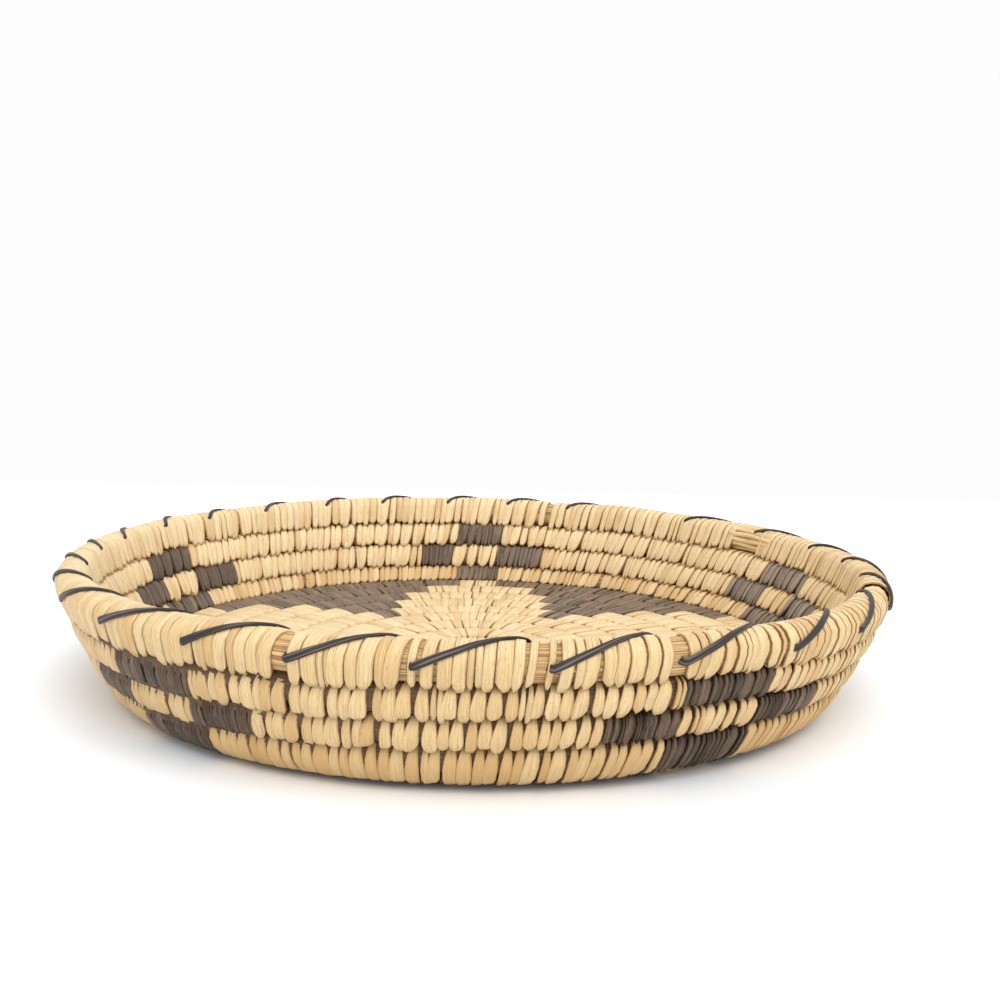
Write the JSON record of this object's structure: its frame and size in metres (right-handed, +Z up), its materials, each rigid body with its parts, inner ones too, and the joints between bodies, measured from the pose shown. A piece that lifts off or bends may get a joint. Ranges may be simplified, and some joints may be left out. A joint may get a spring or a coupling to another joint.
{
  "type": "coiled basket tray",
  "caption": "Round shallow tray of coiled basketwork with a low leaning wall, a thick lashed rim, dark wedges round a pale star on the floor and dark stepped blocks on the wall.",
  "frame": {"origin": "middle of the underside, on the surface that the tray stands on", "axes": "+Z up, out of the open mouth; the picture looks along +Y, with +X to its right"},
  "size_m": [0.2857, 0.2797, 0.0465],
  "materials": {
    "pale_strips": "dry split leaf, matt with a faint sheen",
    "dark_strips": "dark split seed pod, ridged, satin",
    "grass_bundle": "dry grass straws, matt",
    "lashing_strand": "dark twisted fibre, half gloss"
  },
  "bodies": {
    "root": {"floor_star": "pale_strips", "floor_wedge_1": "dark_strips", "floor_wedge_2": "dark_strips", "floor_wedge_3": "dark_strips", "floor_wedge_4": "dark_strips", "floor_wedge_5": "dark_strips", "foundation_coil": "grass_bundle", "lower_block_1": "dark_strips", "lower_block_2": "dark_strips", "lower_block_3": "dark_strips", "lower_block_4": "dark_strips", "lower_block_5": "dark_strips", "lower_run_1": "pale_strips", "lower_run_2": "pale_strips", "lower_run_3": "pale_strips", "lower_run_4": "pale_strips", "lower_run_5": "pale_strips", "lower_run_6": "pale_strips", "middle_block_1": "dark_strips", "middle_block_10": "dark_strips", "middle_block_2": "dark_strips", "middle_block_3": "dark_strips", "middle_block_4": "dark_strips", "middle_block_5": "dark_strips", "middle_block_6": "dark_strips", "middle_block_7": "dark_strips", "middle_block_8": "dark_strips", "middle_block_9": "dark_strips", "middle_inlay_1": "pale_strips", "middle_inlay_2": "pale_strips", "middle_inlay_3": "pale_strips", "middle_inlay_4": "pale_strips", "middle_inlay_5": "pale_strips", "middle_run_1": "pale_strips", "middle_run_2": "pale_strips", "middle_run_3": "pale_strips", "middle_run_4": "pale_strips", "middle_run_5": "pale_strips", "middle_run_6": "pale_strips", "rim_lashing": "lashing_strand", "rim_stitching": "pale_strips", "start_knot": "pale_strips", "upper_block_1": "dark_strips", "upper_block_2": "dark_strips", "upper_block_3": "dark_strips", "upper_block_4": "dark_strips", "upper_block_5": "dark_strips", "upper_run_1": "pale_strips", "upper_run_2": "pale_strips", "upper_run_3": "pale_strips", "upper_run_4": "pale_strips", "upper_run_5": "pale_strips", "upper_run_6": "pale_strips"}
  },
  "joints": []
}
